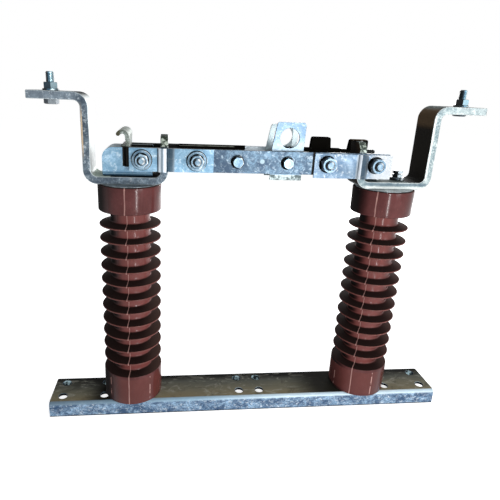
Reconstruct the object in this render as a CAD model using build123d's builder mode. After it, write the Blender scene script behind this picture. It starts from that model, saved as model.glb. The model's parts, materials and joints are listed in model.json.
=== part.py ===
from build123d import *
import os

# Single-pole outdoor disconnect switch with a hook-stick ring: two ribbed resin posts on a
# pressed channel, a bent terminal bar on each post, and a twin-bar blade that swings up
# about the pin of the left terminal. Millimetres, +X along the channel from the hinge to
# the jaw, +Y away from the side that carries the nuts, +Z up, origin under the channel.

# ---- base channel ----
base_length = 603.0
base_width = 65.0
base_height = 24.0
base_wall = 4.0
base_bend = 6.0            # outer radius of the folded edges
fixing_hole = 13.0
fixing_pitch_y = 32.0      # across the channel, all pairs
fixing_pitch_centre = 32.0 # along the channel, middle group
end_hole_inset = 17.0      # from the channel's end to the end pair
side_hole_offset = 43.0    # from a post's axis to the pair outside it

# ---- insulator posts ----
post_spacing = 360.0
post_height = 325.0
post_diameter = 85.0
core_diameter = 54.0
cap_height = 36.0
foot_height = 47.0
shed_count = 11
shed_diameter = 84.0
shed_rim = 2.0
shed_slope = 3.0           # how far the top of a shed falls from core to rim
cap_chamfer = 1.5

# ---- metal insert on top of each post ----
insert_diameter = 80.0
insert_thickness = 1.0     # of its rim, above the resin
boss_margin = 5.0          # from a cap screw's axis to the boss's edge
boss_depth = 18.0

# ---- terminal bars ----
bar_width = 46.0
bar_thickness = 10.0
bar_bend = 8.0             # inner radius
pad_overhang = 120.0       # end of the pad beyond the post's axis
pad_leg_offset = 57.0      # outer face of the leg under the pad beyond the post's axis
pad_top_rise = 113.5       # pad's top above the underside of the bar
leg_inset = 51.5           # face of the contact leg towards the middle, from the post's axis
leg_rise = 63.0            # its top above the underside of the bar
leg_chamfer = 9.0
terminal_bolt_inset = 25.0

# ---- blade ----
pivot_rise = 24.0          # hinge pin above the top of the terminal bar
pin_offset = 33.5          # hinge pin from the contact leg's face towards the middle
blade_height = 30.0
blade_thickness = 5.0
blade_nose = 21.0          # blade bar beyond the last bolt
contact_gap = 0.3          # between a contact leg's edge and a blade bar
hinge_tie_offset = 41.5    # tie bolt from the middle of the hinge's contact leg
jaw_inner_offset = 51.5    # jaw bolts from the middle of the jaw's contact leg, inner one
jaw_outer_offset = 16.0    # and outer one
plate_thickness = 2.2
plate_end = 16.0           # spring plate beyond the hinge pin
jaw_plate_end = 22.5       # spring plate beyond the outer jaw bolt
hinge_plate_length = 108.0
jaw_plate_length = 107.5
jaw_plate_height = 32.5
jaw_plate_drop = 2.5       # its middle below the pivot
rib_width = 12.0
rib_height = 4.2
rib_offset = -2.0          # rib of a spring plate from the middle of its contact leg
clamp_bolt_x = -38.5
latch_pivot_x = 28.0

# ---- fasteners ----
m12 = {"shank": 12.0, "flats": 19.0, "head": 7.5, "nut": 10.0, "washer": 21.0, "washer_height": 2.0}
m10 = {"shank": 10.0, "flats": 16.0, "head": 6.4, "nut": 8.0, "washer": 20.0, "washer_height": 2.0}
m10_hinge = {**m10, "washer": 25.0, "washer_height": 4.0}
m8 = {"shank": 8.0, "flats": 13.0, "head": 5.3, "nut": 6.5, "washer": 16.0, "washer_height": 1.6}
cap_screw_washer = 20.0
cap_screw_washer_height = 4.0
cap_screw_nut = 4.5
cap_screw_neck = 1.0       # between the lock nut and the head
cap_screw_head = 4.0
cap_screw_gap = 5.5        # from its washer to the bend of the contact leg
thread_end = 3.0           # bolt end beyond its nut, in the blade
stud_length = 12.5         # the same, on the terminal pads
sleeve_wall = 2.0
hole_clearance = 0.5       # on radius, through holes
fit_clearance = 0.1        # on radius, parts that stay put
running_clearance = 0.05   # on radius, hinge pin and latch pivot

# ---- hinge bracket and opening stop ----
bracket_inset = 3.0        # from the terminal bar's edges to the leaves' outer faces
bracket_wall = 5.0
bracket_offset = 33.0      # its outer end beyond the post's axis
bracket_gap = 2.5          # from its inner end to the bend of the contact leg
bracket_rise = 38.0        # leaf top above the terminal bar
bracket_corner = 14.0
stop_thickness = 5.0
stop_gap = 0.5             # to the edge of the opened blade
stop_slot = 7.5            # slot for it in the bracket's leaves
stop_start = 13.5          # its lower edge and the slot's, above the terminal bar
stop_ledge = 8.0           # ledge on top of the leaves, from the middle of the plate
stop_ledge_height = 3.0
stop_roll = 6.0            # radius of the rolled top, to the middle of the plate
stop_roll_rise = 52.0      # centre of the roll above the terminal bar
stop_roll_turn = 150.0     # degrees

# ---- stiffener between the blade bars ----
stiffener_tail = 22.0      # beyond the tie bolt
stiffener_nose = 17.5      # beyond the clamp bolt
stiffener_wall = 2.2
stiffener_rise = 1.0       # above the top edge of the bars
stiffener_depth = 24.0
stiffener_step = 9.0       # how much its front half is shorter at the free end

# ---- pull ring and latch ----
ring_plate = 2.5
ring_inset = 3.0           # from the contact legs' edges to the plates' outer faces
ring_tail = 20.5           # edge of a plate from the latch pivot
ring_foot = 43.5           # width of a plate at the bars
ring_head = 39.0           # width of a plate at the top
ring_lean = 6.0            # how far the top stands towards the jaw
ring_top = 52.0            # above the pivot
ring_rear_drop = 5.0       # top of the rear plate below that of the front one
ring_foot_drop = 24.5      # underside of the web below the pivot
ring_corner = 4.0
ring_hole = 26.4
ring_hole_offset = 3.0     # from the latch pivot
ring_hole_rise = 31.5      # above the pivot
arm_wall = 2.5
arm_tail = 10.0            # beyond the latch pivot
arm_gap = 16.5             # between the arm's end and the jaw's contact leg
arm_rise = 17.0            # top of the arm's web above the pivot
arm_depth = 7.0            # along the arm
arm_ear_drop = 8.0         # lower edge of the pivot ears below the pivot
arm_ear_length = 26.0
tab_thickness = 8.0
first_tab_offset = 37.0    # from the latch pivot
first_tab_length = 29.0
hook_tab_length = 7.5      # on the arm's side of the contact leg
tab_rise = 16.0            # above the arm's web, first tab
hook_rise = 14.0           # the same, hook
tab_corner = 3.0
hook_gap = 0.5             # over the top of the contact leg
hook_lip = 5.0
hook_lip_gap = 3.0
hook_lip_drop = 10.0

# ---- derived places ----
post_x = post_spacing / 2
bar_bottom = base_height + post_height + insert_thickness
bar_top = bar_bottom + bar_thickness
pad_top = bar_bottom + pad_top_rise
pad_reach = post_x + pad_overhang
pad_leg_reach = post_x + pad_leg_offset
leg_top = bar_bottom + leg_rise
leg_reach = post_x - leg_inset
leg_x = leg_reach + bar_thickness / 2
terminal_bolt_x = pad_reach - terminal_bolt_inset
hinge_reach = leg_reach + pin_offset
stop_reach = hinge_reach + blade_height / 2 + stop_gap + stop_thickness / 2
bracket_length = bracket_offset + leg_inset - bar_thickness - bar_bend - bracket_gap
bracket_top = bar_top + bracket_rise
pivot_z = bar_top + pivot_rise
blade_tail = blade_height / 2
bracket_width = bar_width - 2 * bracket_inset
ring_width = bar_width - 2 * ring_inset
screw_pitch = 2 * (leg_inset - bar_thickness - bar_bend - cap_screw_gap) - cap_screw_washer
boss_diameter = screw_pitch + 2 * boss_margin
blade_inner = bar_width / 2 + contact_gap
blade_outer = blade_inner + blade_thickness
plate_outer = blade_outer + plate_thickness
blade_top = pivot_z + blade_height / 2
shed_pitch = (post_height - cap_height - foot_height) / (shed_count + 1)
hinge_tie_x = hinge_tie_offset - leg_x
jaw_inner_x = leg_x - jaw_inner_offset
jaw_outer_x = leg_x + jaw_outer_offset
jaw_end = jaw_outer_x + blade_nose


def upright(x, z):
    """Plane facing the nuts, with its origin over x at height z."""
    return Plane(origin=(x, 0, z), x_dir=(1, 0, 0), z_dir=(0, -1, 0))


def make_insulator(x):
    """Resin post with deep caps at both ends and thin sloping sheds between them."""
    first_shed = post_height - cap_height - shed_pitch
    with BuildPart() as insulator:
        with BuildSketch(upright(x, base_height)):
            with BuildLine():
                points = [(0, 0), (post_diameter / 2, 0), (post_diameter / 2, foot_height)]
                points += [(core_diameter / 2, foot_height + shed_slope / 2)]
                for shed in reversed(range(shed_count)):
                    rim_z = first_shed - shed * shed_pitch
                    points += [
                        (core_diameter / 2, rim_z - shed_rim / 2),
                        (shed_diameter / 2, rim_z - shed_rim / 2),
                        (shed_diameter / 2, rim_z + shed_rim / 2),
                        (core_diameter / 2, rim_z + shed_rim / 2 + shed_slope),
                    ]
                points += [(core_diameter / 2, post_height - cap_height)]
                points += [(post_diameter / 2, post_height - cap_height)]
                points += [(post_diameter / 2, post_height), (0, post_height)]
                Polyline(*points, close=True)
            make_face()
        revolve(axis=Axis((x, 0, 0), (0, 0, 1)))
        cap_rims = insulator.edges().filter_by(GeomType.CIRCLE).filter_by(
            lambda rim: abs(rim.radius - post_diameter / 2) < 0.01
        )
        chamfer(cap_rims, cap_chamfer)
        with BuildSketch(Plane.XY.offset(base_height + post_height)):
            with Locations((x, 0)):
                Circle(boss_diameter / 2 + fit_clearance)
        extrude(amount=-boss_depth - fit_clearance, mode=Mode.SUBTRACT)
        with BuildSketch(Plane.XY.offset(base_height)):
            with Locations((x, 0)):
                Circle(m12["shank"] / 2 + fit_clearance)
        extrude(amount=boss_depth + 12, mode=Mode.SUBTRACT)
    return insulator


def make_insert(x):
    """Steel disc with a boss that sits in the post's cap and takes two screws."""
    with BuildPart() as insert:
        with BuildSketch(Plane.XY.offset(base_height + post_height - boss_depth)):
            with Locations((x, 0)):
                Circle(boss_diameter / 2)
        extrude(amount=boss_depth)
        with BuildSketch(Plane.XY.offset(base_height + post_height)):
            with Locations((x, 0)):
                Circle(insert_diameter / 2)
        extrude(amount=insert_thickness)
        with BuildSketch(Plane.XY.offset(bar_bottom)):
            with Locations((x - screw_pitch / 2, 0), (x + screw_pitch / 2, 0)):
                Circle(m8["shank"] / 2 + fit_clearance)
        extrude(amount=-insert_thickness - boss_depth, mode=Mode.SUBTRACT)
    return insert


def make_foot_bolt(x):
    """Bolt that holds a post down, head and washer under the channel's web."""
    seat = base_height - base_wall
    with BuildPart() as bolt:
        with BuildSketch(Plane.XY.offset(seat)):
            with Locations((x, 0)):
                Circle(m12["washer"] / 2)
        extrude(amount=-m12["washer_height"])
        with BuildSketch(Plane.XY.offset(seat - m12["washer_height"])):
            with Locations((x, 0)):
                RegularPolygon(m12["flats"] / 2, 6, major_radius=False)
        extrude(amount=-m12["head"])
        with BuildSketch(Plane.XY.offset(seat)):
            with Locations((x, 0)):
                Circle(m12["shank"] / 2)
        extrude(amount=base_wall + boss_depth + 10)
    return bolt


def make_cap_screws(x, seat):
    """Two screws that clamp what lies on a post's insert, from height seat, each with a lock
    nut under its head."""
    spots = ((x - screw_pitch / 2, 0), (x + screw_pitch / 2, 0))
    nut_top = seat + cap_screw_washer_height + cap_screw_nut
    with BuildPart() as screws:
        with BuildSketch(Plane.XY.offset(seat)):
            with Locations(*spots):
                Circle(cap_screw_washer / 2)
        extrude(amount=cap_screw_washer_height)
        for bottom, height in (
            (nut_top - cap_screw_nut, cap_screw_nut), (nut_top + cap_screw_neck, cap_screw_head)
        ):
            with BuildSketch(Plane.XY.offset(bottom)):
                with Locations(*spots):
                    RegularPolygon(m8["flats"] / 2, 6, major_radius=False)
            extrude(amount=height)
        with BuildSketch(Plane.XY.offset(nut_top + cap_screw_neck)):
            with Locations(*spots):
                Circle(m8["shank"] / 2)
        extrude(amount=-(nut_top + cap_screw_neck - bar_bottom) - insert_thickness - boss_depth + 2)
    return screws


def make_spring_plate(start, length, bottom, height, rib_x, shank, bolts):
    """Sprung cover plate outside the front blade bar, with one pressed rib."""
    half_rib, crest = rib_width / 2, rib_width / 4
    with BuildPart() as plate:
        with BuildSketch(Plane.XY.offset(bottom)):
            with BuildLine():
                spine = FilletPolyline(
                    (start, -blade_outer),
                    (rib_x - half_rib, -blade_outer),
                    (rib_x - crest, -blade_outer - rib_height),
                    (rib_x + crest, -blade_outer - rib_height),
                    (rib_x + half_rib, -blade_outer),
                    (start + length, -blade_outer),
                    radius=2.0,
                )
                offset(spine, amount=plate_thickness, side=Side.RIGHT)
            make_face()
        extrude(amount=height)
        drill(shank / 2 + fit_clearance, *bolts)
    return plate


def drill(radius, *spots):
    """Holes along Y through the piece being built, at the pivot's height over each spot."""
    with Locations(*[upright(x, pivot_z) for x in spots]):
        Hole(radius)


def make_tie_bolt(x, size, seat, sleeve=None):
    """Bolt along Y with its nut: head at the rear, nut and thread end at the front, a washer
    under each at the distance seat from the middle. A sleeve is (inner, outer) distances
    from the middle between which a spacer surrounds the shank on both sides."""
    front = seat + size["washer_height"] + size["nut"] + thread_end
    with BuildPart() as bolt:
        with BuildSketch(upright(x, pivot_z).offset(-seat)):
            Circle(size["shank"] / 2)
        extrude(amount=seat + front)
        for side, hexagon in ((1, size["nut"]), (-1, size["head"])):
            with BuildSketch(upright(x, pivot_z).offset(side * seat)):
                Circle(size["washer"] / 2)
            extrude(amount=side * size["washer_height"])
            with BuildSketch(upright(x, pivot_z).offset(side * (seat + size["washer_height"]))):
                RegularPolygon(size["flats"] / 2, 6, major_radius=False)
            extrude(amount=side * hexagon)
            if sleeve:
                with BuildSketch(upright(x, pivot_z).offset(side * sleeve[0])):
                    Circle(size["shank"] / 2 + sleeve_wall)
                extrude(amount=side * (sleeve[1] - sleeve[0]))
    return bolt


# ---- base channel: folded strip, open below, resting on its two edges ----
with BuildPart() as base_channel:
    with BuildSketch(Plane.YZ.offset(-base_length / 2)):
        with Locations((0, base_height / 2)):
            Rectangle(base_width, base_height)
            Rectangle(base_width - 2 * base_wall, base_height, mode=Mode.SUBTRACT)
        with Locations((0, base_height - base_wall / 2)):
            Rectangle(base_width, base_wall)
    extrude(amount=base_length)
    long_edges = base_channel.edges().filter_by(Axis.X)
    fillet(long_edges.group_by(Axis.Z)[-1], base_bend)
    inner_top = base_channel.edges().filter_by(Axis.X).filter_by(
        lambda edge: abs(edge.center().Z - base_height + base_wall) < 0.01
    )
    fillet(inner_top, base_bend - base_wall)
    end_x = base_length / 2 - end_hole_inset
    side_x = post_x + side_hole_offset
    middle_x = fixing_pitch_centre / 2
    fixings = [(side * x, y) for x in (end_x, side_x, middle_x) for side in (1, -1)
               for y in (fixing_pitch_y / 2, -fixing_pitch_y / 2)]
    with BuildSketch(Plane.XY.offset(base_height)):
        with Locations(*fixings):
            Circle(fixing_hole / 2)
        with Locations((-post_x, 0), (post_x, 0)):
            Circle(m12["shank"] / 2 + hole_clearance)
    extrude(amount=-base_wall, mode=Mode.SUBTRACT)

left_insulator = make_insulator(-post_x)
right_insulator = make_insulator(post_x)
left_cap_insert = make_insert(-post_x)
right_cap_insert = make_insert(post_x)
left_foot_bolt = make_foot_bolt(-post_x)
right_foot_bolt = make_foot_bolt(post_x)

# ---- terminal bar: flat bar bent four times, pad high outside, contact leg upturned inside ----
with BuildPart() as left_terminal_bar:
    with BuildSketch(Plane.XZ.offset(-bar_width / 2)):
        with BuildLine():
            spine = FilletPolyline(
                (-pad_reach, pad_top),
                (-pad_leg_reach + bar_thickness, pad_top),
                (-pad_leg_reach + bar_thickness, bar_top),
                (-leg_reach - bar_thickness, bar_top),
                (-leg_reach - bar_thickness, leg_top),
                radius=[bar_bend + bar_thickness, bar_bend, bar_bend],
            )
            offset(spine, amount=bar_thickness, side=Side.RIGHT)
        make_face()
    extrude(amount=bar_width)
    leg_corners = left_terminal_bar.edges().filter_by(Axis.X).group_by(Axis.X)[-1]
    chamfer(leg_corners.filter_by(lambda edge: edge.center().Z > leg_top - 1), leg_chamfer)
    with BuildSketch(Plane.XY.offset(pad_top)):
        with Locations((-terminal_bolt_x, 0)):
            Circle(m10["shank"] / 2 + hole_clearance)
    extrude(amount=-bar_thickness, mode=Mode.SUBTRACT)
    with BuildSketch(Plane.XY.offset(bar_top)):
        with Locations((-post_x - screw_pitch / 2, 0), (-post_x + screw_pitch / 2, 0)):
            Circle(m8["shank"] / 2 + hole_clearance)
    extrude(amount=-bar_thickness, mode=Mode.SUBTRACT)

with BuildPart() as right_terminal_bar:
    mirror(left_terminal_bar.part, about=Plane.YZ)

# ---- terminal bolt with its nut on each pad, thread end up for a cable lug ----
with BuildPart() as left_terminal_bolt:
    with BuildSketch(Plane.XY.offset(pad_top - bar_thickness)):
        with Locations((-terminal_bolt_x, 0)):
            Circle(m10["shank"] / 2)
    extrude(amount=bar_thickness + m10["washer_height"] + m10["nut"] + stud_length)
    with BuildSketch(Plane.XY.offset(pad_top)):
        with Locations((-terminal_bolt_x, 0)):
            Circle(m10["washer"] / 2)
    extrude(amount=m10["washer_height"])
    with BuildSketch(Plane.XY.offset(pad_top + m10["washer_height"])):
        with Locations((-terminal_bolt_x, 0)):
            RegularPolygon(m10["flats"] / 2, 6, major_radius=False)
    extrude(amount=m10["nut"])
    with BuildSketch(Plane.XY.offset(pad_top - bar_thickness)):
        with Locations((-terminal_bolt_x, 0)):
            RegularPolygon(m10["flats"] / 2, 6, major_radius=False)
    extrude(amount=-m10["head"])

with BuildPart() as right_terminal_bolt:
    mirror(left_terminal_bolt.part, about=Plane.YZ)

# ---- hinge bracket: U of strip on the terminal bar, clamped by the cap screws ----
with BuildPart() as hinge_bracket:
    with BuildSketch(Plane.YZ.offset(-post_x - bracket_offset)):
        with Locations((0, bar_top + bracket_rise / 2)):
            Rectangle(bracket_width, bracket_rise)
        with Locations((0, bar_top + bracket_rise / 2 + bracket_wall)):
            Rectangle(bracket_width - 2 * bracket_wall, bracket_rise, mode=Mode.SUBTRACT)
    extrude(amount=bracket_length)
    foot_folds = hinge_bracket.edges().filter_by(Axis.X).group_by(Axis.Z)
    fillet(foot_folds[0], bracket_wall + 2)
    inner_folds = hinge_bracket.edges().filter_by(Axis.X).filter_by(
        lambda edge: abs(edge.center().Z - bar_top - bracket_wall) < 0.01
    )
    fillet(inner_folds, 2)
    leaf_corners = hinge_bracket.edges().filter_by(Axis.Y).group_by(Axis.Z)[-1]
    fillet(leaf_corners.group_by(Axis.X)[0], bracket_corner)
    with BuildSketch(Plane.XY.offset(bar_top)):
        with Locations((-post_x - screw_pitch / 2, 0), (-post_x + screw_pitch / 2, 0)):
            Circle(m8["shank"] / 2 + hole_clearance)
    extrude(amount=bracket_wall, mode=Mode.SUBTRACT)
    with BuildSketch(Plane.XY.offset(bar_top + stop_start - fit_clearance)):
        with Locations((-stop_reach + stop_thickness / 2 + fit_clearance - stop_slot / 2, 0)):
            Rectangle(stop_slot, bracket_width)
    extrude(amount=bracket_rise, mode=Mode.SUBTRACT)
    with BuildSketch(upright(-hinge_reach, pivot_z).offset(-bracket_width)):
        Circle(m10["shank"] / 2 + running_clearance)
    extrude(amount=2 * bracket_width, mode=Mode.SUBTRACT)

left_cap_screws = make_cap_screws(-post_x, bar_top + bracket_wall)
right_cap_screws = make_cap_screws(post_x, bar_top)

# ---- opening stop: plate in the bracket's slots, rolled over at the top, hung by a ledge ----
with BuildPart() as opening_stop:
    roll_z = bar_top + stop_roll_rise
    with BuildSketch(upright(0, 0).offset(-blade_outer)):
        with BuildLine():
            foot = (-stop_reach, bar_top + stop_start + stop_thickness / 2)
            stem = Line(foot, (-stop_reach, roll_z))
            roll = CenterArc((-stop_reach - stop_roll, roll_z), stop_roll, 0, stop_roll_turn)
            offset([stem, roll], amount=stop_thickness / 2, side=Side.BOTH)
        make_face()
    extrude(amount=2 * blade_outer)
    with BuildSketch(Plane.YZ.offset(-stop_reach)):
        for side in (1, -1):
            with Locations((side * (bar_width / 2 + 6), roll_z - 44)):
                Rectangle(12, 80)
    extrude(amount=stop_thickness, both=True, mode=Mode.SUBTRACT)
    with BuildSketch(Plane.XY.offset(bracket_top + fit_clearance)):
        with Locations((-stop_reach - stop_ledge / 2, 0)):
            Rectangle(stop_ledge, bracket_width)
    extrude(amount=stop_ledge_height)

# ---- blade bars ----
with BuildPart() as blade_bar_front:
    with BuildSketch(Plane.XZ.offset(blade_inner)):
        with Locations(((jaw_end - hinge_reach - blade_tail) / 2, pivot_z)):
            RectangleRounded(jaw_end + hinge_reach + blade_tail, blade_height, 3)
    extrude(amount=blade_thickness)
    drill(m12["shank"] / 2 + fit_clearance, jaw_inner_x, jaw_outer_x)
    drill(m10["shank"] / 2 + fit_clearance, -hinge_reach, hinge_tie_x)
    drill(m8["shank"] / 2 + fit_clearance, clamp_bolt_x, latch_pivot_x)
with BuildPart() as blade_bar_rear:
    mirror(blade_bar_front.part, about=Plane.XZ)

# ---- spring plates outside the bars, over each contact leg ----
hinge_spring_plate_front = make_spring_plate(
    -hinge_reach - plate_end, hinge_plate_length, pivot_z - blade_height / 2, blade_height,
    rib_offset - leg_x, m10["shank"], (-hinge_reach, hinge_tie_x),
)
jaw_spring_plate_front = make_spring_plate(
    jaw_outer_x + jaw_plate_end - jaw_plate_length, jaw_plate_length,
    pivot_z - jaw_plate_drop - jaw_plate_height / 2, jaw_plate_height,
    rib_offset + leg_x, m12["shank"], (jaw_inner_x, jaw_outer_x),
)
with BuildPart() as hinge_spring_plate_rear:
    mirror(hinge_spring_plate_front.part, about=Plane.XZ)
with BuildPart() as jaw_spring_plate_rear:
    mirror(jaw_spring_plate_front.part, about=Plane.XZ)

# ---- bolts through the blade ----
bracket_side = bracket_width / 2 + contact_gap
stiffener_reach = blade_inner - fit_clearance
hinge_pin = make_tie_bolt(-hinge_reach, m10_hinge, plate_outer, (bracket_side, blade_inner))
hinge_tie_bolt = make_tie_bolt(
    hinge_tie_x, m10_hinge, plate_outer, (0, stiffener_reach - stiffener_wall)
)
jaw_inner_bolt = make_tie_bolt(jaw_inner_x, m12, plate_outer)
jaw_outer_bolt = make_tie_bolt(jaw_outer_x, m12, plate_outer, (0, blade_inner))
clamp_bolt = make_tie_bolt(clamp_bolt_x, m8, blade_outer)
latch_pivot_bolt = make_tie_bolt(
    latch_pivot_x, m8, blade_outer, (ring_width / 2 + contact_gap, blade_inner)
)

# ---- stiffener: dark channel between the bars, cut back at the front of its free end ----
stiffener_start = hinge_tie_x - stiffener_tail
stiffener_end = clamp_bolt_x + stiffener_nose
with BuildPart() as blade_stiffener:
    stiffener_top = blade_top + stiffener_rise
    with BuildSketch(Plane.YZ.offset(stiffener_start)):
        with Locations((0, stiffener_top - stiffener_depth / 2)):
            Rectangle(2 * stiffener_reach, stiffener_depth)
        with Locations((0, stiffener_top - stiffener_depth / 2 - stiffener_wall)):
            Rectangle(2 * (stiffener_reach - stiffener_wall), stiffener_depth, mode=Mode.SUBTRACT)
    extrude(amount=stiffener_end - stiffener_start)
    folds = blade_stiffener.edges().filter_by(Axis.X).group_by(Axis.Z)[-1]
    fillet(folds, stiffener_wall / 2)
    with BuildSketch(Plane.XY.offset(stiffener_top)):
        with BuildLine():
            Polyline(
                (stiffener_end - stiffener_step, -stiffener_reach),
                (stiffener_end - stiffener_step, 0),
                (stiffener_end, stiffener_reach), (stiffener_end, -stiffener_reach), close=True,
            )
        make_face()
    extrude(amount=-stiffener_depth, mode=Mode.SUBTRACT)
    drill(m8["shank"] / 2 + fit_clearance, clamp_bolt_x)
    drill(m10["shank"] / 2 + fit_clearance, hinge_tie_x)

# ---- pull ring bracket: two leaning plates with an eye, joined by a web below the bars ----
ring_side = ring_width / 2
ring_start = latch_pivot_x - ring_tail
with BuildPart() as pull_ring_bracket:
    foot_z = pivot_z - ring_foot_drop
    for side, rise in ((1, ring_top), (-1, ring_top - ring_rear_drop)):
        head_z = pivot_z + rise
        with BuildSketch(Plane.XZ.offset(side * (ring_side - ring_plate / 2))) as outline:
            with BuildLine():
                Polyline(
                    (ring_start, foot_z),
                    (ring_start + ring_foot, foot_z),
                    (ring_start + ring_foot, blade_top),
                    (ring_start + ring_lean + ring_head, head_z),
                    (ring_start + ring_lean, head_z),
                    (ring_start, blade_top),
                    close=True,
                )
            make_face()
            fillet(outline.vertices().group_by(Axis.Y)[-1], ring_corner)
            with Locations((latch_pivot_x + ring_hole_offset, pivot_z + ring_hole_rise)):
                Circle(ring_hole / 2, mode=Mode.SUBTRACT)
            with Locations((latch_pivot_x, pivot_z)):
                Circle(m8["shank"] / 2 + running_clearance, mode=Mode.SUBTRACT)
        extrude(amount=ring_plate / 2, both=True)
    with BuildSketch(Plane.XY.offset(foot_z)):
        with Locations((ring_start + ring_foot / 2, 0)):
            Rectangle(ring_foot, ring_width)
    extrude(amount=ring_plate)

# ---- latch arm: dark channel pivoted in the ring bracket, with a hook over the jaw's leg ----
arm_start = latch_pivot_x - arm_tail
arm_end = leg_reach - arm_gap
first_tab_start = latch_pivot_x + first_tab_offset
hook_tab_start = leg_reach - hook_tab_length
with BuildPart() as latch_arm:
    arm_side = ring_side - ring_plate
    arm_top = pivot_z + arm_rise
    ear_z = pivot_z - arm_ear_drop
    with BuildSketch(Plane.XZ.offset(-arm_side)):
        with BuildLine():
            Polyline(
                (arm_start, ear_z),
                (arm_start + arm_ear_length, ear_z),
                (arm_start + arm_ear_length + 6, arm_top - arm_depth),
                (arm_end, arm_top - arm_depth),
                (arm_end, arm_top),
                (arm_start, arm_top),
                close=True,
            )
        make_face()
    extrude(amount=2 * arm_side)
    folds = latch_arm.edges().filter_by(Axis.X).group_by(Axis.Z)[-1]
    fillet(folds, arm_wall)
    with BuildSketch(Plane.YZ.offset(arm_start)):
        with Locations((0, arm_top - arm_wall - 50)):
            Rectangle(2 * (arm_side - arm_wall), 100)
    extrude(amount=arm_end - arm_start, mode=Mode.SUBTRACT)
    hook_far = leg_reach + bar_thickness + hook_lip_gap
    with BuildSketch(Plane.XZ.offset(-tab_thickness / 2)):
        with BuildLine():
            Polyline(
                (first_tab_start, arm_top - arm_wall),
                (first_tab_start, arm_top),
                (first_tab_start + 1.5, arm_top + tab_rise),
                (first_tab_start + first_tab_length - 1.5, arm_top + tab_rise),
                (first_tab_start + first_tab_length, arm_top),
                (hook_tab_start - 2, arm_top),
                (hook_tab_start, arm_top + hook_rise),
                (hook_far + hook_lip, arm_top + hook_rise),
                (hook_far + hook_lip, leg_top - hook_lip_drop),
                (hook_far, leg_top - hook_lip_drop),
                (hook_far, leg_top + hook_gap),
                (leg_reach - 6, leg_top + hook_gap),
                (leg_reach - 6, arm_top - arm_wall),
                close=True,
            )
        make_face()
    extrude(amount=tab_thickness)
    tab_corners = latch_arm.edges().filter_by(Axis.Y).group_by(Axis.Z)
    fillet(tab_corners[-1] + tab_corners[-2], tab_corner)
    drill(m8["shank"] / 2 + running_clearance, latch_pivot_x)

pieces = {
    "base_channel": base_channel,
    "left_insulator": left_insulator,
    "right_insulator": right_insulator,
    "left_cap_insert": left_cap_insert,
    "right_cap_insert": right_cap_insert,
    "left_foot_bolt": left_foot_bolt,
    "right_foot_bolt": right_foot_bolt,
    "left_terminal_bar": left_terminal_bar,
    "right_terminal_bar": right_terminal_bar,
    "left_terminal_bolt": left_terminal_bolt,
    "right_terminal_bolt": right_terminal_bolt,
    "left_cap_screws": left_cap_screws,
    "right_cap_screws": right_cap_screws,
    "hinge_bracket": hinge_bracket,
    "opening_stop": opening_stop,
    "blade_bar_front": blade_bar_front,
    "blade_bar_rear": blade_bar_rear,
    "hinge_spring_plate_front": hinge_spring_plate_front,
    "hinge_spring_plate_rear": hinge_spring_plate_rear,
    "jaw_spring_plate_front": jaw_spring_plate_front,
    "jaw_spring_plate_rear": jaw_spring_plate_rear,
    "hinge_pin": hinge_pin,
    "hinge_tie_bolt": hinge_tie_bolt,
    "jaw_inner_bolt": jaw_inner_bolt,
    "jaw_outer_bolt": jaw_outer_bolt,
    "blade_stiffener": blade_stiffener,
    "clamp_bolt": clamp_bolt,
    "latch_pivot_bolt": latch_pivot_bolt,
    "pull_ring_bracket": pull_ring_bracket,
    "latch_arm": latch_arm,
}

os.makedirs("parts", exist_ok=True)
for name, piece in pieces.items():
    piece.part.label = name
    export_step(piece.part, f"parts/{name}.step")
    print(name, "volume", round(piece.part.volume / 1000, 2), "cm3")
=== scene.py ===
import json
from math import cos, pi, radians, sin, tan

import bmesh
import bpy
from mathutils import Matrix, Vector


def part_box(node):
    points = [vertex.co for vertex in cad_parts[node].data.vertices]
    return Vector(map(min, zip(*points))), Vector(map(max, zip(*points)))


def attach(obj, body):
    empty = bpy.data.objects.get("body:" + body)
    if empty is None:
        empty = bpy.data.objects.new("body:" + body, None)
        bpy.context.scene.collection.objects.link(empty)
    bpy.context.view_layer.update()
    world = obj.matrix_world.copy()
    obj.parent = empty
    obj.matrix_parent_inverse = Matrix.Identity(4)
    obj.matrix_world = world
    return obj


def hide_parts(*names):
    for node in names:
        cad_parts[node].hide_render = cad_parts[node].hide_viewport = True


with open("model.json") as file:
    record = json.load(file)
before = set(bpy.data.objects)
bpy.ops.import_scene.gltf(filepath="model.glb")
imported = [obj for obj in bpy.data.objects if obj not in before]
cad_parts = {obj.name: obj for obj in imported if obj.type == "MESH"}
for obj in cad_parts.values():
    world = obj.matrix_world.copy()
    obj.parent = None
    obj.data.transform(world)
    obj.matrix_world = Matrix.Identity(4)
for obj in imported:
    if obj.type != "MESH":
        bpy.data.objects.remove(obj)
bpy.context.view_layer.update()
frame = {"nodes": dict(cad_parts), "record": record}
nodes = frame["nodes"]
bodyOf = {node: body for body, members in frame["record"]["behaviour"]["bodies"].items()
          for node in members}
mm = 0.001
sides = ("left", "right")


def corners(node):  # the lowest and the highest corner of a CAD node at rest, in mm
    return [Vector(corner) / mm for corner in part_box(node)]


def middle(node):  # of a CAD node's box, in mm
    low, high = corners(node)
    return (low + high) / 2


postAxis = {side: middle(side + "_insulator").x for side in sides}
print("frame loaded:", len(nodes), "CAD nodes")


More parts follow.
